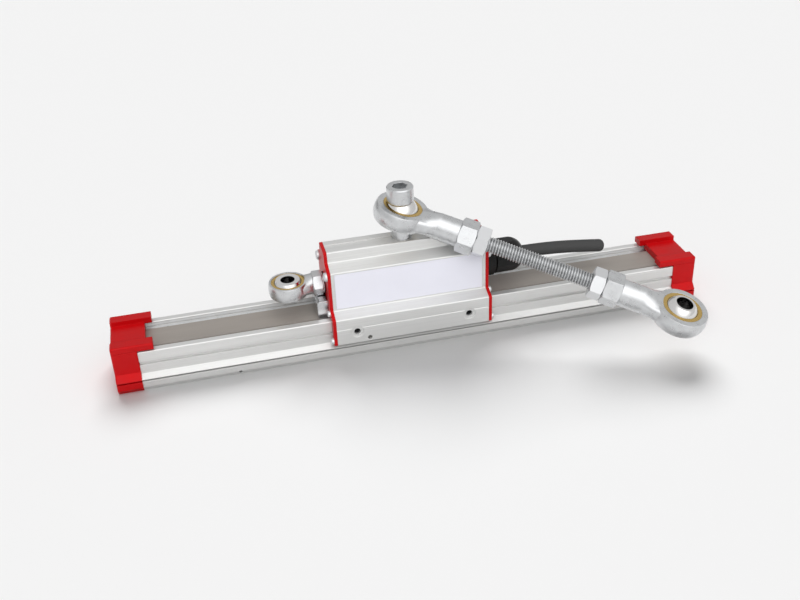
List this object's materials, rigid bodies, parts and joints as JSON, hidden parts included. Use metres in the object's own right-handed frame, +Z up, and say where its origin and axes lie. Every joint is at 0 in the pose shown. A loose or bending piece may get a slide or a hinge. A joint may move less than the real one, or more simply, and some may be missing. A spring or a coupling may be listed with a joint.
{
  "type": "linear position sensor",
  "caption": "Guided magnetic linear position sensor: aluminium rail with red end caps, sliding read-head carriage and a ball-jointed push rod",
  "frame": {"origin": "middle of the rail's underside, where the rail is bolted down", "axes": "X along the rail with the cable leaving towards +X, Z up from the mounting face, Y from the label side to the rear"},
  "size_m": [0.22, 0.0693, 0.0596],
  "materials": {
    "rail_aluminium": "clear anodised extrusion, fine lines along its length",
    "carriage_aluminium": "clear anodised extrusion, satin",
    "red_plastic": "moulded, slight sheen",
    "tape_black": "magnetic rubber tape",
    "backing_steel": "thin rolled strip",
    "zinc_steel": "bright zinc plated",
    "bright_steel": "milled, bright",
    "ball_chrome": "polished ball",
    "race_brass": "turned brass",
    "black_plastic": "moulded, slight sheen",
    "black_rubber": "smooth rubber",
    "cable_sheath": "extruded sheath",
    "core_insulation": "wire insulation",
    "board_green": "solder resist",
    "glide_plastic": "low-friction plastic",
    "label_film": "plain silver film, bare"
  },
  "bodies": {
    "rail": {"rail_profile": "rail_aluminium", "magnetic_tape": "tape_black", "backing_strip": "backing_steel", "end_cap_left": "red_plastic", "end_cap_right": "red_plastic", "cap_screws_left": "zinc_steel", "cap_screws_right": "zinc_steel"},
    "carriage": {"rail_wiper": "bright_steel", "carriage_housing": "carriage_aluminium", "label_plate": "label_film", "end_plate_left": "red_plastic", "end_plate_right": "red_plastic", "end_seal_left": "black_rubber", "end_seal_right": "black_rubber", "plate_screws_left": "zinc_steel", "plate_screws_right": "zinc_steel", "glide_shoe_front_left": "glide_plastic", "glide_shoe_front_right": "glide_plastic", "glide_shoe_rear_left": "glide_plastic", "glide_shoe_rear_right": "glide_plastic", "adjusting_screws_front": "zinc_steel", "adjusting_screws_rear": "zinc_steel", "read_head": "black_plastic", "sensing_chips": "black_plastic", "circuit_board": "board_green", "board_chips": "black_plastic", "terminal_block": "black_plastic", "gland_body": "black_plastic", "gland_nut": "black_plastic", "gland_seal": "black_rubber", "gland_lock_nut": "black_plastic", "cable_tail": "cable_sheath", "cable_cores": "core_insulation", "cable": "cable_sheath", "spacer": "zinc_steel", "ball_screw": "zinc_steel", "carrier_pad": "black_rubber", "rod_end_carrier": "bright_steel", "carrier_nut": "zinc_steel", "stud_nut": "zinc_steel", "small_rod_end": "zinc_steel", "small_race": "race_brass"},
    "near_ball": {"near_ball": "ball_chrome"},
    "link": {"near_race": "race_brass", "near_rod_end": "zinc_steel", "near_jam_nut": "zinc_steel", "threaded_rod": "zinc_steel", "far_jam_nut": "zinc_steel", "far_rod_end": "zinc_steel", "far_race": "race_brass"},
    "far_ball": {"far_ball": "ball_chrome"},
    "small_ball": {"small_ball": "ball_chrome"}
  },
  "joints": [
    {"name": "carriage_slide", "type": "slide", "parent": "rail", "child": "carriage", "axis": [1, 0, 0], "range_m": [-0.058, 0.0655]},
    {"name": "link_swing", "type": "hinge", "parent": "carriage", "child": "near_ball", "pos_m": [-0.0025, 0, 0.049], "axis": [0, 0, 1], "range_deg": [-126, 0]},
    {"name": "link_tilt", "type": "hinge", "parent": "near_ball", "child": "link", "pos_m": [-0.0025, 0, 0.049], "axis": [-0.4524, -0.8918, 0], "range_deg": [0, 35]},
    {"name": "far_ball_tilt", "type": "hinge", "parent": "link", "child": "far_ball", "pos_m": [0.08628, -0.04504, 0.01723], "axis": [0.8496, -0.431, -0.304], "range_deg": [-13, 13]},
    {"name": "small_ball_tilt", "type": "hinge", "parent": "carriage", "child": "small_ball", "pos_m": [-0.0453, 0, 0.0256], "axis": [0, 1, 0], "range_deg": [-13, 13]}
  ]
}
